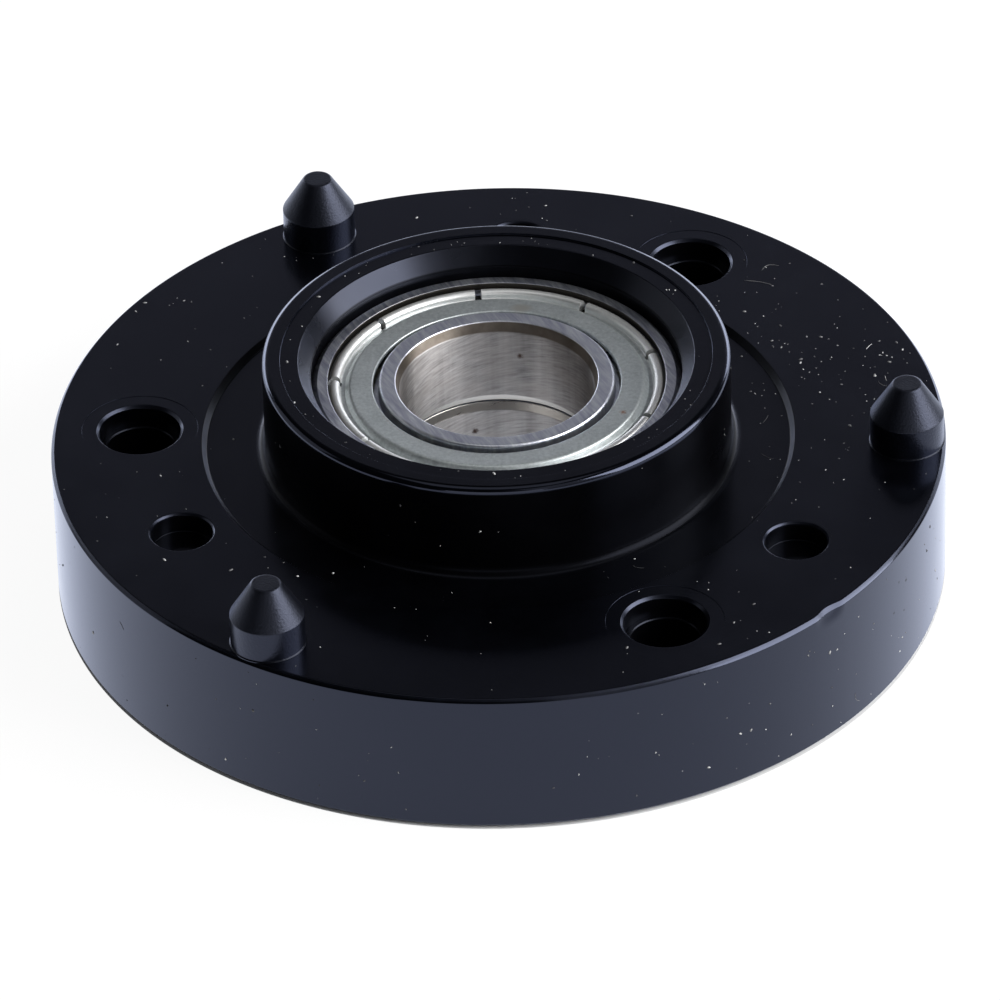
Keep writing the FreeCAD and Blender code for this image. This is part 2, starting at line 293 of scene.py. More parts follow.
class Finish:
    """A procedural material in the making, in millimetres of the object's own space."""

    def __init__(self, name):
        self.material = bpy.data.materials.new(name)
        self.material.use_nodes = True
        self.tree = self.material.node_tree
        self.surface = self.tree.nodes["Principled BSDF"]
        self.coordinates = self.add("ShaderNodeTexCoord")
        self.place = self.vector("SCALE", self.coordinates.outputs["Object"], scale=1 / MM)
        axes = self.add("ShaderNodeSeparateXYZ", {"Vector": self.place})
        self.x, self.y, self.z = axes.outputs

    def add(self, kind, inputs=None, **settings):
        made = self.tree.nodes.new(kind)
        for key, value in settings.items():
            setattr(made, key, value)
        for key, value in (inputs or {}).items():
            self.feed(made.inputs[key], value)
        return made

    def feed(self, socket, value):
        if isinstance(value, bpy.types.NodeSocket):
            self.tree.links.new(value, socket)
        else:
            socket.default_value = value

    def math(self, operation, *values):
        return self.add("ShaderNodeMath", dict(enumerate(values)), operation=operation).outputs[0]

    def vector(self, operation, *values, scale=None):
        inputs = dict(enumerate(values))
        if scale is not None:
            inputs["Scale"] = scale
        return self.add("ShaderNodeVectorMath", inputs, operation=operation).outputs[0]

    def radius(self):
        """Distance from the axis."""
        squares = [self.math("MULTIPLY", axis, axis) for axis in (self.x, self.y)]
        return self.math("SQRT", self.math("ADD", *squares))

    def flatness(self):
        """1 on faces square to the axis, 0 on walls and slopes."""
        axes = self.add("ShaderNodeSeparateXYZ", {"Vector": self.coordinates.outputs["Normal"]})
        return self.span(self.math("ABSOLUTE", axes.outputs[2]), *FLAT_NORMAL)

    def noise(self, scale, detail=2.0, place=None, roughness=0.5):
        inputs = {"Vector": place or self.place, "Scale": scale, "Detail": detail, "Roughness": roughness}
        return self.add("ShaderNodeTexNoise", inputs).outputs[0]

    def lines(self, along, scale, detail):
        """Irregular fine lines that run across the direction in which a value grows."""
        inputs = {"W": along, "Scale": scale, "Detail": detail}
        return self.add("ShaderNodeTexNoise", inputs, noise_dimensions="1D").outputs[0]

    def stretched(self, density, turn=0.0, axis="Z_AXIS"):
        """Noise with its own number of grains per millimetre along each axis, turned about one of them."""
        turned = self.add("ShaderNodeVectorRotate", {"Vector": self.place, "Angle": math.radians(turn)},
                          rotation_type=axis).outputs[0]
        return self.noise(1.0, 4.0, self.vector("MULTIPLY", turned, density), 0.6)

    def spot(self, centre, reach):
        """1 at a point of the object, ragged at the edge, 0 beyond its reach."""
        away = self.add("ShaderNodeVectorMath", {0: self.place, 1: centre}, operation="DISTANCE")
        uneven = self.math("MULTIPLY", self.noise(9.0, 3.0), reach)
        ragged = self.math("ADD", away.outputs["Value"], uneven)
        return self.span(ragged, SPOT_EDGE[0] * reach, SPOT_EDGE[1] * reach)

    def streak(self, centre, density):
        """1 at a point of the object, 0 beyond a reach of its own along each axis, given as its inverse."""
        away = self.vector("MULTIPLY", self.vector("SUBTRACT", self.place, centre), density)
        length = self.add("ShaderNodeVectorMath", {0: away}, operation="LENGTH").outputs["Value"]
        return self.span(length, *STREAK_EDGE)

    def most(self, values):
        largest = values[0]
        for value in values[1:]:
            largest = self.math("MAXIMUM", largest, value)
        return largest

    def all_of(self, first, *others):
        """1 where every share is 1."""
        for other in others:
            first = self.math("MULTIPLY", first, other)
        return first

    def span(self, value, low, high, to_low=0.0, to_high=1.0):
        inputs = {"Value": value, "From Min": low, "From Max": high, "To Min": to_low, "To Max": to_high}
        return self.add("ShaderNodeMapRange", inputs).outputs[0]

    def ranged(self, share, low, high):
        """A value from low to high, as a share grows from 0 to 1."""
        return self.span(share, 0.0, 1.0, low, high)

    def above(self, value, level, soft):
        """1 above a level, 0 below it, with a ramp to either side."""
        return self.span(value, level - soft, level + soft)

    def below(self, value, level, soft):
        """1 below a level, 0 above it, with a ramp to either side."""
        return self.span(value, level + soft, level - soft)

    def blend(self, share, first, second):
        node = self.add("ShaderNodeMix", {0: share}, data_type="RGBA")
        self.feed(node.inputs[6], first)
        self.feed(node.inputs[7], second)
        return node.outputs[2]

    def between(self, share, first, second):
        node = self.add("ShaderNodeMix", {0: share, 2: first, 3: second}, data_type="FLOAT")
        return node.outputs[0]

    def bump(self, height, depth, normal=None):
        inputs = {"Height": height, "Strength": 1.0, "Distance": depth * MM}
        if normal is not None:
            inputs["Normal"] = normal
        return self.add("ShaderNodeBump", inputs).outputs[0]

    def set(self, **values):
        for key, value in values.items():
            self.feed(self.surface.inputs[key.replace("_", " ")], value)


def black_plastic():
    """Machined black acetal: turning lines, a fine grain, dull patches, matt recesses and satin pins."""
    finish = Finish("black_plastic")
    radius = finish.radius()
    height = finish.z
    flat = finish.flatness()
    tone = finish.span(finish.noise(0.25, 4.0, roughness=0.6), 0.35, 0.65)
    dull = finish.span(finish.noise(0.9, 5.0, roughness=0.65), 0.52, 0.75, 0.0, 0.05)

    pins = finish.all_of(finish.above(radius, PIN_CIRCLE - 2.5, 0.1),
                         finish.above(height, FLANGE_TOP + 0.0055, 0.0025))
    tips = finish.all_of(pins, finish.above(height, PIN_SHOULDER - 0.03, 0.05))
    hub = finish.all_of(finish.above(radius, HUB_RADIUS - 0.3, 0.1),
                        finish.below(radius, HUB_RADIUS + 0.35, 0.15))
    hub_rim = finish.all_of(hub, finish.above(height, HUB_TOP - 0.35, 0.05))
    slick = finish.most([finish.above(radius, FLANGE_RADIUS - 0.065, 0.035), hub_rim])
    zones = {
        "hub_wall": finish.all_of(hub, finish.below(height, HUB_TOP - 0.35, 0.05)),
        "seat_wall": finish.below(radius, SEAT_RADIUS + 0.06, 0.03),
        "moat_edge": finish.all_of(finish.above(radius, MOAT_FOOT - 0.04, 0.03),
                                   finish.below(radius, MOAT_RADIUS + 0.03, 0.02)),
        "holes": finish.all_of(finish.above(radius, MOAT_RADIUS + 0.4, 0.05),
                               finish.below(radius, SCREW_CIRCLE + SPOT_RADIUS - 0.05, 0.05),
                               finish.below(height, FLANGE_TOP - 0.21, 0.03)),
        "lead_in": finish.all_of(finish.below(radius, LEAD_IN_RADIUS + 0.01, 0.04),
                                 finish.above(height, SEAT_TOP, 0.05)),
        "pin_roots": finish.all_of(pins, finish.below(height, ROOT_TOP, 0.0025)),
        "pin_tips": tips,
    }
    within_moat = finish.below(radius, MOAT_RADIUS, 0.05)
    faced = finish.math("MULTIPLY", flat, finish.ranged(within_moat, *FACED_MATT))
    pits = finish.most([finish.spot(place, reach) for place, reach in WALL_PITS])
    dimmed = [finish.math("MULTIPLY", zone, MATT[name]) for name, zone in zones.items()]
    matt = finish.most([pits, faced, *dimmed])

    satin = finish.between(flat, finish.ranged(tone, *SATIN["turned"]), finish.ranged(tone, *SATIN["faced"]))
    satin = finish.between(slick, satin, finish.ranged(tone, *SATIN["slick"]))
    satin = finish.between(tips, satin, finish.ranged(tone, *SATIN["pin_tips"]))
    chattered = finish.streak(CHATTER_AT, CHATTER_DENSITY)
    marks = {
        "turning": finish.lines(finish.math("ADD", radius, height), 11.0, 3.0),
        "grain": finish.noise(6.0, 4.0),
        "chatter": finish.math("MULTIPLY", finish.lines(finish.x, 3.5, 1.0), chattered),
        "stipple": finish.math("MULTIPLY", finish.noise(9.0, 3.0), pins),
    }
    normal = None
    for name, relief in marks.items():
        normal = finish.bump(relief, MARK_DEPTHS[name], normal)
    finish.set(
        Base_Color=finish.blend(tone, (0.0006, 0.0006, 0.0008, 1), (0.0012, 0.0012, 0.0016, 1)),
        Roughness=finish.math("ADD", satin, dull),
        Normal=normal,
        Specular_IOR_Level=finish.ranged(matt, 0.34, 0.02),
        Specular_Tint=(0.60, 0.68, 1.0, 1),
        Coat_Weight=finish.ranged(matt, 1.0, 0.0),
        Coat_Roughness=satin,
        Coat_IOR=1.30,
        Coat_Tint=(0.68, 0.76, 1.0, 1),
        Coat_Normal=normal,
    )
    return finish.material


def ring_steel():
    """Ground bearing steel: oblique lines on the faces, honed bores and a few rust spots, with painted shade
    and light: dark brown painted shade on the bore's top bevel, near black painted shade in the shield's
    seat, inner ring faces painted brighter than the outer ring's, and a pale painted highlight on the bores'
    meeting edge.
    """
    finish = Finish("ring_steel")
    flat = finish.flatness()
    radius = finish.radius()
    height = finish.z
    bore = finish.all_of(finish.below(radius, SHAFT_RADIUS + 0.235, 0.015), finish.ranged(flat, 1.0, 0.0),
                         finish.below(height, BORE_TOP, 0.02))
    bevel = finish.all_of(bore, finish.above(radius, SHAFT_RADIUS + 0.02, 0.01))
    top_bevel_shaded = finish.all_of(bevel, finish.above(height, TOP_EDGE, 0.05))
    low_edge_and_highlight = finish.all_of(bevel, finish.below(height, MEETING_EDGE, 0.05))
    seat_groove_shade = finish.all_of(finish.above(radius, OUTER_LAND - 0.01, 0.02),
                           finish.below(radius, GROOVE_LIP + 0.02, 0.01))
    inner = finish.below(radius, INNER_LAND, 0.05)

    ground = finish.span(finish.stretched((5.5, 0.7, 1.0), turn=-30.0), 0.3, 0.7)
    honed = finish.span(finish.stretched((0.9, 0.9, 9.0), turn=14.0, axis="Y_AXIS"), 0.28, 0.72)
    bands = finish.span(finish.stretched((0.6, 0.6, 0.02)), 0.38, 0.62)
    lines = finish.between(bore, ground, honed)
    blotch = finish.span(finish.noise(0.7, 4.0, roughness=0.6), 0.35, 0.75)
    rust = finish.most([finish.spot(place, reach) for place, reach in RING_RUST])

    # The inner ring's faces are painted brighter and bluer than the outer ring's: painted light on one of two
    # like steel faces.
    face_tone_lit_inner = finish.blend(inner, (0.48, 0.50, 0.62, 1), (0.62, 0.64, 0.77, 1))
    face = finish.blend(lines, face_tone_lit_inner, (0.93, 0.96, 1.0, 1))
    # The shield's seat in the outer ring is painted near black as painted shade.
    face = finish.blend(seat_groove_shade, face, (0.06, 0.055, 0.05, 1))
    dark_band = finish.blend(lines, (0.18, 0.175, 0.175, 1), (0.44, 0.43, 0.43, 1))
    pale_band = finish.blend(lines, (0.32, 0.305, 0.305, 1), (0.62, 0.61, 0.61, 1))
    polished = finish.blend(bands, dark_band, pale_band)
    polished = finish.blend(finish.ranged(blotch, 0.0, 0.5), polished, (0.48, 0.44, 0.42, 1))
    # Dark brown on the bore's top bevel is painted shade.
    bevel_painted_shade = finish.blend(blotch, (0.14, 0.12, 0.10, 1), (0.24, 0.21, 0.185, 1))
    clean = finish.blend(bore, face, polished)
    clean = finish.blend(top_bevel_shaded, clean, bevel_painted_shade)
    # Pale colour on the bores' meeting edge is a painted highlight; its lower roughness and lack of
    # anisotropy are the edge's own finish.
    clean = finish.blend(low_edge_and_highlight, clean, (0.56, 0.545, 0.52, 1))
    rough = finish.between(bore, finish.ranged(lines, 0.30, 0.40), finish.ranged(lines, 0.42, 0.50))
    finish.set(
        Base_Color=finish.blend(rust, clean, (0.07, 0.032, 0.022, 1)),
        Metallic=finish.ranged(rust, 1.0, 0.1),
        Roughness=finish.between(low_edge_and_highlight, rough, finish.ranged(lines, 0.26, 0.34)),
        Anisotropic=finish.between(low_edge_and_highlight, finish.ranged(bore, 0.0, 0.82), 0.0),
        Anisotropic_Rotation=0.25,
        Tangent=finish.add("ShaderNodeTangent", direction_type="RADIAL", axis="Z").outputs[0],
        Normal=finish.bump(lines, 0.0025),
    )
    return finish.material


def shield_steel():
    """Matt stamped sheet with a fine grain, a faint stain and one rust spot; its rolled rim is painted paler
    than the panel as a painted highlight.
    """
    finish = Finish("shield_steel")
    grain = finish.noise(5.0, 4.0, roughness=0.7)
    cloud = finish.span(finish.noise(0.6, 4.0), 0.3, 0.7)
    rolled = finish.above(finish.radius(), BEAD_FOOT - 0.06, 0.05)
    stain = finish.streak(STAIN_AT, STAIN_DENSITY)
    rust = finish.spot(*SHIELD_RUST)
    mottle = finish.math("ADD", finish.span(grain, 0.3, 0.7, 0.0, 0.7), finish.ranged(cloud, 0.0, 0.3))
    panel = finish.blend(mottle, (0.40, 0.44, 0.45, 1), (0.69, 0.735, 0.74, 1))
    # The rolled rim's paler colour is a painted highlight on the bead.
    rim = finish.blend(mottle, (0.76, 0.77, 0.77, 1), (0.88, 0.88, 0.87, 1))
    sheet = finish.blend(stain, finish.blend(rolled, panel, rim), (0.50, 0.50, 0.47, 1))
    finish.set(
        Base_Color=finish.blend(rust, sheet, (0.20, 0.11, 0.075, 1)),
        Metallic=finish.ranged(rust, 0.8, 0.2),
        Roughness=finish.span(grain, 0.3, 0.7, 0.38, 0.46),
        Normal=finish.bump(grain, 0.003),
    )
    return finish.material


def cage_nylon():
    """Natural moulded nylon."""
    finish = Finish("cage_nylon")
    cloud = finish.noise(0.8, 3.0)
    finish.set(
        Base_Color=finish.blend(cloud, (0.58, 0.53, 0.42, 1), (0.68, 0.64, 0.54, 1)),
        Roughness=finish.span(cloud, 0.3, 0.7, 0.4, 0.5),
        Normal=finish.bump(finish.noise(5.0), 0.003),
    )
    return finish.material


def ball_steel():
    """Polished balls with a trace of grease haze."""
    finish = Finish("ball_steel")
    haze = finish.noise(1.5, 3.0)
    finish.set(
        Base_Color=finish.blend(haze, (0.68, 0.68, 0.70, 1), (0.76, 0.76, 0.78, 1)),
        Metallic=1.0,
        Roughness=finish.span(haze, 0.3, 0.7, 0.05, 0.14),
    )
    return finish.material


def pale_dust():
    """Lint and dust, each grain with its own tone."""
    finish = Finish("pale_dust")
    tone = finish.add("ShaderNodeNewGeometry").outputs["Random Per Island"]
    mostly_dark = finish.math("POWER", tone, 2.2)
    finish.set(
        Base_Color=finish.blend(mostly_dark, (0.05, 0.05, 0.055, 1), (0.80, 0.80, 0.79, 1)),
        Roughness=finish.span(finish.noise(8.0), 0.3, 0.7, 0.75, 0.95),
    )
    return finish.material


FINISHES = {
    "black_plastic": black_plastic(),
    "ring_steel": ring_steel(),
    "shield_steel": shield_steel(),
    "cage_nylon": cage_nylon(),
    "ball_steel": ball_steel(),
}


def dress_frame():
    """Every solid of the frame gets the finish of its own slot."""
    for part in frame["record"]["subparts"]:
        slots = frame["nodes"][part["node"]].data.materials
        slots.clear()
        slots.append(FINISHES[part["material_slot"]])


def softened(outline):
    """Points along a closed outline: corners rounded, with a narrow strip either side of each rounding."""
    points = []
    for index, corner in enumerate(outline):
        here = Vector(corner[:2])
        rounding = corner[2] if len(corner) > 2 else EDGE_ROUND
        before = Vector(outline[index - 1][:2]) - here
        after = Vector(outline[(index + 1) % len(outline)][:2]) - here
        if rounding == 0:
            points.append(here)
            continue
        half = before.angle(after) / 2
        reach = min(rounding / math.tan(half), ROUND_SHARE * before.length, ROUND_SHARE * after.length)
        towards = (before.normalized() + after.normalized()).normalized()
        centre = here + towards * (reach / math.cos(half))
        first = here + before.normalized() * reach - centre
        turn = math.pi - 2 * half
        turn = -math.copysign(turn, before.x * after.y - before.y * after.x)
        steps = max(1, math.ceil(abs(turn) / ARC_STEP))
        points.append(here + before.normalized() * min(reach + STRIP_WIDTH, 0.5 * before.length))
        for step in range(steps + 1):
            angle = turn * step / steps
            points.append(centre + Vector((
                first.x * math.cos(angle) - first.y * math.sin(angle),
                first.x * math.sin(angle) + first.y * math.cos(angle),
            )))
        points.append(here + after.normalized() * min(reach + STRIP_WIDTH, 0.5 * after.length))
    return points


def on_arc(centre, height, radius, first, sweep):
    """Corners along an arc of an outline, from an angle in degrees, left as they are."""
    steps = math.ceil(math.radians(abs(sweep)) / ARC_STEP)
    corners = []
    for step in range(steps + 1):
        angle = math.radians(first + sweep * step / steps)
        corners.append((centre + radius * math.cos(angle), height + radius * math.sin(angle), 0))
    return corners


def even_turns(count):
    return [2 * math.pi * index / count for index in range(count)]


def mesh_of(work, name):
    mesh = bpy.data.meshes.new(name)
    work.to_mesh(mesh)
    work.free()
    return mesh


def turn_up(outline, turns, places):
    """Mesh of a closed outline turned about Z, with a copy at each place, in millimetres."""
    work = bmesh.new()
    points = softened(outline)
    for place in places:
        rows = []
        for angle in turns:
            side = Vector((math.cos(angle), math.sin(angle), 0))
            rows.append([work.verts.new(place @ (side * p.x + Vector((0, 0, p.y)))) for p in points])
        for row, following in zip(rows, rows[1:] + rows[:1]):
            for a in range(len(points)):
                b = (a + 1) % len(points)
                work.faces.new((row[a], following[a], following[b], row[b]))
    bmesh.ops.remove_doubles(work, verts=work.verts, dist=MERGE_DISTANCE)
    bmesh.ops.recalc_face_normals(work, faces=work.faces)
    return mesh_of(work, "turned")


def around(count, radius, first_angle):
    """Places on a circle about Z."""
    places = []
    for index in range(count):
        turn = Matrix.Rotation(math.radians(first_angle + 360 * index / count), 4, "Z")
        places.append(turn @ Matrix.Translation((radius, 0, 0)))
    return places


def shown(name, content):
    """A new object in the scene for a mesh, a lamp or a lens."""
    made = bpy.data.objects.new(name, content)
    bpy.context.scene.collection.objects.link(made)
    return made


def settle(piece):
    """Turn a piece's modifiers into its mesh."""
    depsgraph = bpy.context.evaluated_depsgraph_get()
    mesh = bpy.data.meshes.new_from_object(piece.evaluated_get(depsgraph), depsgraph=depsgraph)
    piece.modifiers.clear()
    piece.data = mesh


def combine(piece, mesh, operation):
    """Join a mesh to a piece, or cut the piece with it."""
    tool = shown("tool", mesh)
    change = piece.modifiers.new("change", "BOOLEAN")
    change.operation = operation
    change.solver = "EXACT"
    change.object = tool
    settle(piece)
    bpy.data.objects.remove(tool)


def smooth(piece):
    """Smooth shading that keeps flat faces flat and hard edges hard."""
    piece.data.shade_smooth()
    piece.data.set_sharp_from_angle(angle=SHARP_ANGLE)
    weigh = piece.modifiers.new("weigh", "WEIGHTED_NORMAL")
    weigh.keep_sharp = True
    settle(piece)


def stand_for(piece, node, body, slot):
    """Show a finished piece in place of a solid of the frame."""
    piece.data.materials.clear()
    piece.data.materials.append(FINISHES[slot])
    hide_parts(node)
    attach(piece, body)


def nick(mesh):
    """Dent the flange's top edge in one place."""
    across = Matrix.Rotation(math.radians(NICK_ANGLE), 4, "Z")
    inward = across @ Vector((-1, 0, 0))
    for vertex in mesh.vertices:
        there = across.inverted() @ vertex.co
        along = there.y / NICK_REACH[0]
        away = math.hypot(there.x - FLANGE_RADIUS, there.z - FLANGE_TOP) / NICK_REACH[1]
        if there.x > 0 and abs(along) < 1 and away < 1:
            vertex.co += inward * (NICK_DEPTH * (1 - along ** 2) ** 2 * (1 - away ** 2) ** 2)


def build_housing():
    """Housing with fine rounded edges: turned body, pins, holes and the nick in its edge."""
    turns = even_turns(HOUSING_TURNS)
    turns += [math.radians(NICK_ANGLE + NICK_TURN * step) for step in range(-NICK_TURNS, NICK_TURNS + 1)]
    body = shown("housing_finished", turn_up(HOUSING_OUTLINE, sorted(turns), [Matrix()]))
    round_turns = even_turns(ROUND_TURNS)
    pins = around(OF_EACH, PIN_CIRCLE, PIN_ANGLE)
    screws = around(OF_EACH, SCREW_CIRCLE, SCREW_ANGLE)
    shallows = around(OF_EACH, SHALLOW_CIRCLE, SHALLOW_ANGLE)
    combine(body, turn_up(PIN_OUTLINE, round_turns, pins), "UNION")
    combine(body, turn_up(SCREW_HOLE_OUTLINE, round_turns, screws), "DIFFERENCE")
    combine(body, turn_up(SHALLOW_HOLE_OUTLINE, round_turns, shallows), "DIFFERENCE")
    nick(body.data)
    body.data.transform(Matrix.Scale(MM, 4))
    smooth(body)
    stand_for(body, "housing", "housing", "black_plastic")


def bearing_outlines():
    """Outlines of the ring and shield sections about a bearing's middle plane."""
    outer = [
        (GROOVE_LIP, HALF_WIDTH, 0.05), (RING_RADIUS - RING_BEVEL, HALF_WIDTH),
        (RING_RADIUS, HALF_WIDTH - RING_BEVEL), (RING_RADIUS, RING_BEVEL - HALF_WIDTH),
        (RING_RADIUS - RING_BEVEL, -HALF_WIDTH), (OUTER_LAND, -HALF_WIDTH, 0.08), (OUTER_LAND, RACE_EDGE, 0),
        *on_arc(*OUTER_RACE),
        (OUTER_LAND, SHIELD_STEP - SHEET), (GROOVE_RADIUS, SHIELD_STEP - SHEET), (GROOVE_RADIUS, GROOVE_TOP),
        (GROOVE_LIP, GROOVE_TOP + GROOVE_RADIUS - GROOVE_LIP),
    ]
    inner = [
        (SHAFT_RADIUS + INNER_BEVEL[0], INNER_TOP, 0.08), (SHAFT_RADIUS, INNER_TOP - INNER_BEVEL[1], 0.03),
        (SHAFT_RADIUS, INNER_END + END_BEVEL[1], 0.03), (SHAFT_RADIUS + END_BEVEL[0], INNER_END, 0.06),
        (INNER_LAND, INNER_END, 0.08), (INNER_LAND, RACE_EDGE, 0),
        *on_arc(*INNER_RACE),
        (INNER_LAND, INNER_STEP[1]), INNER_STEP, (INNER_STEP[0], INNER_TOP, 0.14),
    ]
    shield = [
        (SHIELD_EDGE, SHIELD_TOP - SHEET, 0.01), (SHIELD_EDGE, SHIELD_TOP, 0.15),
        (SLOPE_TOP, SHIELD_TOP, 0.2), (SLOPE_FOOT, SHIELD_STEP, 0.1), (BEAD_FOOT, SHIELD_STEP, 0.05),
        *on_arc(*BEAD),
        (SHIELD_RIM, SHIELD_STEP, 0.06), (SHIELD_RIM, SHIELD_STEP - SHEET),
        (SLOPE_FOOT - SLOPE_LAP, SHIELD_STEP - SHEET), (SLOPE_TOP - SLOPE_LAP, SHIELD_TOP - SHEET),
    ]
    return {"outer_ring": outer, "inner_ring": inner, "shield": shield}


def notches():
    """Cutters for the gaps in a shield's rolled rim."""
    work = bmesh.new()
    inwards = Matrix.Translation((NOTCH_ROOT + NOTCH_SIZE[0] / 2, 0, NOTCH_MIDDLE))
    for place in around(NOTCH_COUNT, 0.0, FIRST_NOTCH):
        bmesh.ops.create_cube(work, size=1.0, matrix=place @ inwards @ Matrix.Diagonal((*NOTCH_SIZE, 1.0)))
    return mesh_of(work, "notches")


def build_bearings():
    """Rings and shields of both bearings with fine rounded edges; the lower bearing is turned over."""
    turns = even_turns(BEARING_TURNS)
    for side, middle in BEARING_MIDDLES.items():
        place = Matrix.Translation((0, 0, middle))
        if side == "lower":
            place = place @ Matrix.Rotation(math.pi, 4, "X")
        for kind, outline in bearing_outlines().items():
            node = f"{side}_{kind}"
            piece = shown(f"{node}_finished", turn_up(outline, turns, [Matrix()]))
            if kind == "shield":
                combine(piece, notches(), "DIFFERENCE")
            piece.data.transform(Matrix.Scale(MM, 4) @ place)
            smooth(piece)
            body = f"{side}_inner" if kind == "inner_ring" else "housing"
            stand_for(piece, node, body, "shield_steel" if kind == "shield" else "ring_steel")


def clear_of_features(x, y):
    """Whether a point of the flange's top keeps clear of its pins and holes."""
    features = (
        (PIN_CIRCLE, PIN_ANGLE, PIN_RADIUS),
        (SCREW_CIRCLE, SCREW_ANGLE, SCREW_REACH),
        (SHALLOW_CIRCLE, SHALLOW_ANGLE, SHALLOW_RADIUS),
    )
    for radius, angle, reach in features:
        for place in around(OF_EACH, radius, angle):
            centre = place.translation
            if math.hypot(x - centre.x, y - centre.y) < reach + FEATURE_MARGIN:
                return False
    return True


def inside_box(place):
    """Whether a point in millimetres lies inside the object's box."""
    low, high = cad_box
    return all(low[axis] < place[axis] * MM < high[axis] for axis in range(3))


def dust_spot(chance, heaps):
    """One point on the housing where dust can lie, with the surface's normal there, or None."""
    up = Vector((0, 0, 1))
    angle = chance.uniform(0, 2 * math.pi)
    side = Vector((math.cos(angle), math.sin(angle), 0))
    kind = chance.random()
    if kind < ON_WALL:
        return side * FLANGE_RADIUS + up * chance.uniform(*WALL_DUST), side
    if kind < ON_LAND:
        return side * chance.uniform(*LAND_DUST) + up * LAND_HEIGHT, up
    if kind < ON_HUB:
        return side * HUB_RADIUS + up * chance.uniform(*HUB_DUST), side
    if chance.random() < IN_HEAP:
        heap = chance.choice(heaps)
        x = chance.gauss(heap.x, HEAP_SPREAD)
        y = chance.gauss(heap.y, HEAP_SPREAD)
    else:
        x = chance.uniform(-FLANGE_RADIUS, FLANGE_RADIUS)
        y = chance.uniform(-FLANGE_RADIUS, FLANGE_RADIUS)
    radius = math.hypot(x, y)
    if MOAT_RADIUS + FEATURE_MARGIN < radius < FLANGE_RADIUS - EDGE_MARGIN and clear_of_features(x, y):
        return Vector((x, y, FLANGE_TOP)), up
    if HUB_RADIUS + FILLET_MARGIN < radius < MOAT_RADIUS - EDGE_MARGIN:
        return Vector((x, y, MOAT_FLOOR)), up
    return None


def dust_spots(chance, count):
    """Points on the housing where dust lies, some of them in loose heaps."""
    heaps = []
    for _ in range(HEAP_COUNT):
        angle = chance.uniform(0, 2 * math.pi)
        heaps.append(Vector((math.cos(angle), math.sin(angle))) * chance.uniform(*HEAP_CIRCLES))
    spots = []
    while len(spots) < count:
        spot = dust_spot(chance, heaps)
        if spot is None or not inside_box(spot[0] + spot[1] * GRAIN_LIMIT):
            continue
        if chance.random() < DUSTY_CHANCE + DUSTY_BIAS * spot[0].normalized().dot(DUSTY_SIDE):
            spots.append(spot)
    return spots


def lie_on(place, normal, turn):
    """Frame on a surface: Z along its normal, turned about it."""
    upright = normal.to_track_quat("Z", "Y").to_matrix().to_4x4()
    return Matrix.Translation(place) @ upright @ Matrix.Rotation(turn, 4, "Z")


def add_grain(work, frame_there, length, width):
    """A flat grain, sunk to its middle into what it lies on."""
    shape = Matrix.Diagonal((length / 2, width / 2, width / 3, 1.0))
    bmesh.ops.create_icosphere(work, subdivisions=1, radius=1.0, matrix=frame_there @ shape)


def add_fibre(work, frame_there, length, bend):
    """A curved lint fibre that lies along a surface."""
    rings = []
    for step in range(FIBRE_STEPS + 1):
        along = step / FIBRE_STEPS - 0.5
        sideways = bend * length * (along * along - FIBRE_SAG)
        middle = Vector((along * length, sideways, FIBRE_RADIUS * FIBRE_LIFT))
        thin = FIBRE_RADIUS * (1.0 - FIBRE_TAPER * (2 * along) ** 4)
        ring = []
        for angle in even_turns(FIBRE_SIDES):
            spoke = Vector((0, math.cos(angle), math.sin(angle)))
            ring.append(work.verts.new(frame_there @ (middle + spoke * thin)))
        rings.append(ring)
    for ring, following in zip(rings, rings[1:]):
        for a in range(FIBRE_SIDES):
            b = (a + 1) % FIBRE_SIDES
            work.faces.new((ring[a], following[a], following[b], ring[b]))
    work.faces.new(rings[0])
    work.faces.new(rings[-1][::-1])


def add_dust():
    """Specks of dust and short lint fibres that lie on the plastic."""
    chance = random.Random(DUST_SEED)
    up = Vector((0, 0, 1))
    work = bmesh.new()
    for place, normal in dust_spots(chance, GRAIN_COUNT):
        size = min(GRAIN_SIZE * math.exp(abs(chance.gauss(0, GRAIN_SPREAD))), 2 * GRAIN_LIMIT)
        stretch = chance.uniform(1.0, GRAIN_STRETCH)
        add_grain(work, lie_on(place, normal, chance.uniform(0, 2 * math.pi)), size * stretch, size)
    for place, normal in dust_spots(chance, FIBRE_COUNT):
        there = lie_on(place, normal, chance.uniform(0, 2 * math.pi))
        add_fibre(work, there, chance.uniform(*FIBRE_LENGTHS), chance.uniform(-FIBRE_BEND, FIBRE_BEND))
    for place, turn, length, bend in LONG_FIBRES:
        add_fibre(work, lie_on(Vector(place), up, math.radians(turn)), length, bend)
    large = lie_on(Vector(LARGE_GRAIN["at"]), up, math.radians(LARGE_GRAIN["turn"]))
    add_grain(work, large, LARGE_GRAIN["length"], LARGE_GRAIN["width"])
    bmesh.ops.recalc_face_normals(work, faces=work.faces)
    mesh = mesh_of(work, "dust")
    mesh.transform(Matrix.Scale(MM, 4))
    mesh.shade_smooth()
    mesh.materials.append(pale_dust())
    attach(shown("dust", mesh), "housing")


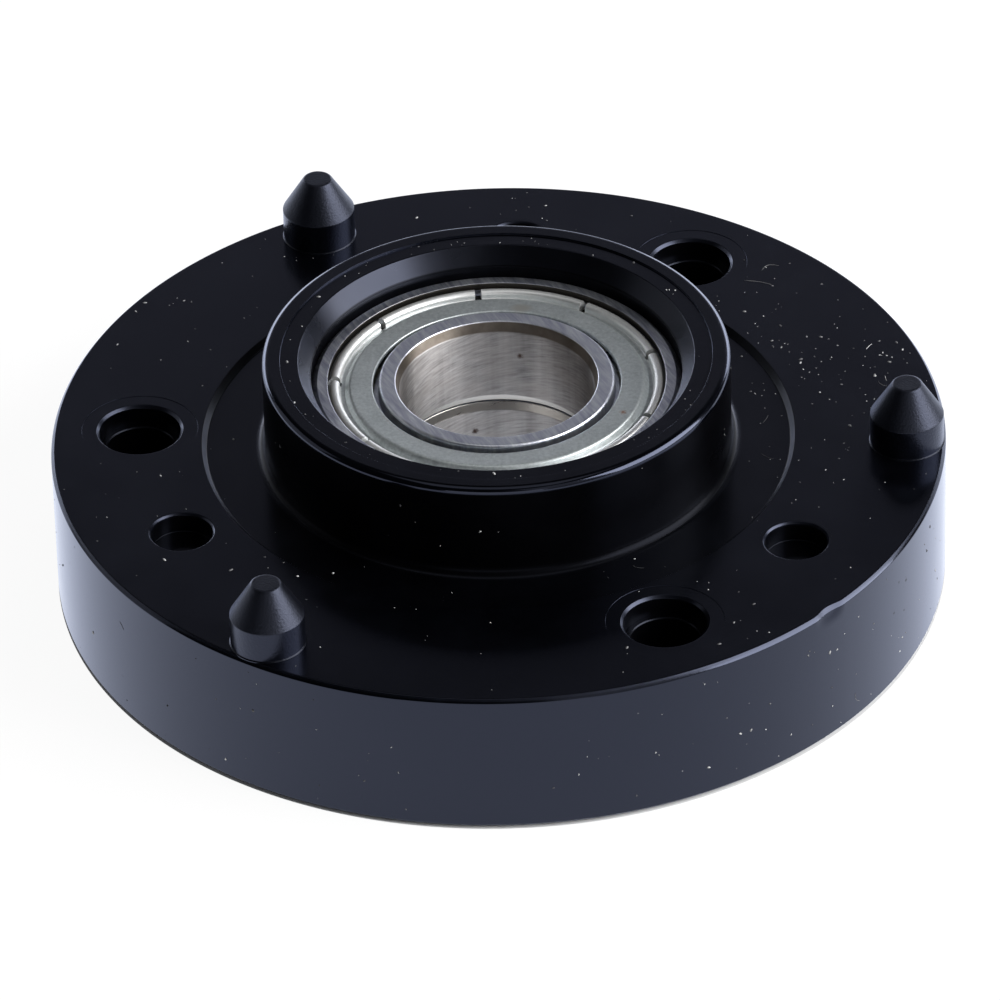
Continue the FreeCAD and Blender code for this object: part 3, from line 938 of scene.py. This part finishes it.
def add_camera():
    """Camera at the photograph's angle, tilted and rolled as it was."""
    azimuth = math.radians(CAMERA_AZIMUTH)
    elevation = math.radians(CAMERA_ELEVATION)
    tilt = math.radians(CAMERA_TILT)
    roll = math.radians(CAMERA_ROLL)
    back = Vector((
        math.sin(azimuth) * math.cos(elevation),
        -math.cos(azimuth) * math.cos(elevation),
        math.sin(elevation),
    ))
    level = Vector((math.cos(azimuth), math.sin(azimuth), 0))
    rise = back.cross(level)
    back_tilted = back * math.cos(tilt) - rise * math.sin(tilt)
    rise_tilted = rise * math.cos(tilt) + back * math.sin(tilt)
    right = level * math.cos(roll) + rise_tilted * math.sin(roll)
    up = rise_tilted * math.cos(roll) - level * math.sin(roll)
    lens = bpy.data.cameras.new("photo_camera")
    lens.sensor_width = SENSOR_WIDTH
    lens.lens = CAMERA_LENS
    lens.clip_start, lens.clip_end = CAMERA_CLIP
    camera = shown("photo_camera", lens)
    turn = Matrix((right, up, back_tilted)).transposed().to_4x4()
    camera.matrix_world = Matrix.Translation(back * CAMERA_DISTANCE) @ turn
    bpy.context.scene.camera = camera


def add_softboxes():
    """Area lamps, each facing the object, with its radiance given in place of its power."""
    for name, box in SOFTBOXES.items():
        lamp = bpy.data.lights.new(name, "AREA")
        lamp.color = box.get("tint", WHITE)
        lamp.shape = "RECTANGLE"
        lamp.size, lamp.size_y = box["size"]
        lamp.energy = box["radiance"] * math.pi * lamp.size * lamp.size_y
        azimuth = math.radians(box["azimuth"])
        elevation = math.radians(box["elevation"])
        outward = Vector((
            math.cos(elevation) * math.cos(azimuth),
            math.cos(elevation) * math.sin(azimuth),
            math.sin(elevation),
        ))
        light = shown(name, lamp)
        light.location = STUDIO_CENTRE + outward * box["distance"]
        light.rotation_euler = outward.to_track_quat("Z", "Y").to_euler()


def glowing(tree, tint, glow, albedo):
    """White that glows and still takes shadows."""
    light = tree.nodes.new("ShaderNodeEmission")
    light.inputs["Color"].default_value = (*tint, 1)
    light.inputs["Strength"].default_value = glow
    shade = tree.nodes.new("ShaderNodeBsdfDiffuse")
    shade.inputs["Color"].default_value = (albedo, albedo, albedo, 1)
    both = tree.nodes.new("ShaderNodeAddShader")
    tree.links.new(light.outputs[0], both.inputs[0])
    tree.links.new(shade.outputs[0], both.inputs[1])
    return both.outputs[0]


def floor_white():
    """White for the camera round the object, white in reflections there and below the bore, else plain."""
    material = bpy.data.materials.new("floor_white")
    material.use_nodes = True
    tree = material.node_tree
    nodes = tree.nodes
    links = tree.links
    nodes.clear()

    def math_of(operation, first, second):
        node = nodes.new("ShaderNodeMath")
        node.operation = operation
        links.new(first, node.inputs[0])
        if isinstance(second, float):
            node.inputs[1].default_value = second
        else:
            links.new(second, node.inputs[1])
        return node.outputs[0]

    def mixed(share, first, second):
        node = nodes.new("ShaderNodeMixShader")
        for socket, source in zip(node.inputs, (share, first, second)):
            links.new(source, socket)
        return node.outputs[0]

    away = nodes.new("ShaderNodeVectorMath")
    away.operation = "LENGTH"
    links.new(nodes.new("ShaderNodeTexCoord").outputs["Object"], away.inputs[0])
    outside = math_of("GREATER_THAN", away.outputs["Value"], FLANGE_RADIUS * MM)
    below_bore = math_of("LESS_THAN", away.outputs["Value"], BORE_OPENING * MM)
    ray = nodes.new("ShaderNodeLightPath").outputs
    mirrored = math_of("MULTIPLY", math_of("MAXIMUM", outside, below_bore),
                       math_of("MAXIMUM", ray["Is Glossy Ray"], ray["Is Transmission Ray"]))
    seen = math_of("MULTIPLY", outside, ray["Is Camera Ray"])
    plain = nodes.new("ShaderNodeBsdfDiffuse")
    plain.inputs["Color"].default_value = (*FLOOR_PLAIN, 1)
    surface = mixed(mirrored, plain.outputs[0], glowing(tree, **FLOOR_MIRRORED))
    surface = mixed(seen, surface, glowing(tree, **FLOOR_SEEN))
    links.new(surface, nodes.new("ShaderNodeOutputMaterial").inputs["Surface"])
    return material


def add_floor():
    """Plain floor a hair below the object."""
    half = FLOOR_SIZE / 2
    mesh = bpy.data.meshes.new("floor")
    corners = [(x * half, y * half, -FLOOR_GAP) for x, y in ((-1, -1), (1, -1), (1, 1), (-1, 1))]
    mesh.from_pydata(corners, [], [(0, 1, 2, 3)])
    mesh.materials.append(floor_white())
    floor = shown("floor", mesh)


def add_world():
    """Dim room for the object, white behind it for the camera."""
    world = bpy.data.worlds.new("studio")
    bpy.context.scene.world = world
    world.use_nodes = True
    nodes = world.node_tree.nodes
    links = world.node_tree.links
    nodes.clear()
    ray = nodes.new("ShaderNodeLightPath")
    room = nodes.new("ShaderNodeBackground")
    room.inputs["Color"].default_value = (*ROOM_TINT, 1)
    room.inputs["Strength"].default_value = ROOM_LIGHT
    white = nodes.new("ShaderNodeBackground")
    white.inputs["Color"].default_value = (*WHITE, 1)
    mix = nodes.new("ShaderNodeMixShader")
    links.new(ray.outputs["Is Camera Ray"], mix.inputs[0])
    links.new(room.outputs[0], mix.inputs[1])
    links.new(white.outputs[0], mix.inputs[2])
    output = nodes.new("ShaderNodeOutputWorld")
    links.new(mix.outputs[0], output.inputs["Surface"])


dress_frame()
build_housing()
build_bearings()
add_dust()
add_camera()
add_softboxes()
add_floor()
add_world()
bpy.context.scene.view_settings.view_transform = "Standard"
